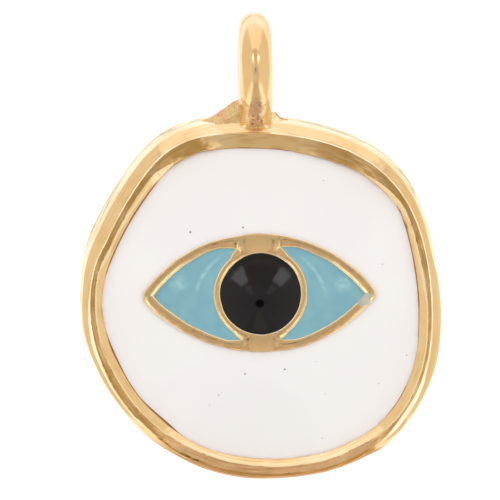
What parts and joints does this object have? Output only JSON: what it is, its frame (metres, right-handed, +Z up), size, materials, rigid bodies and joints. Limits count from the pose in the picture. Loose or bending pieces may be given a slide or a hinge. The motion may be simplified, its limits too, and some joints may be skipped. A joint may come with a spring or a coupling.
{
  "type": "eye charm",
  "caption": "Rounded cast charm with a raised rim, an enamelled eye motif and a hanging loop set edge-on at the top.",
  "frame": {"origin": "centre of the bounding box at the level of the surface that the charm lies on", "axes": "+Z up from that surface, through the face; +Y along the charm's length towards the hanging loop; +X across the face, towards the eye's right corner"},
  "size_m": [0.0182, 0.0234, 0.006],
  "materials": {
    "gold_metal": "polished gold plating over cast brass, with fine wear",
    "white_enamel": "glossy opaque enamel",
    "blue_enamel": "glossy opaque enamel",
    "black_enamel": "high-gloss opaque enamel"
  },
  "bodies": {
    "root": {"metal_body": "gold_metal", "white_enamel": "white_enamel", "blue_enamel_left": "blue_enamel", "blue_enamel_right": "blue_enamel", "pupil_enamel": "black_enamel"}
  },
  "joints": []
}
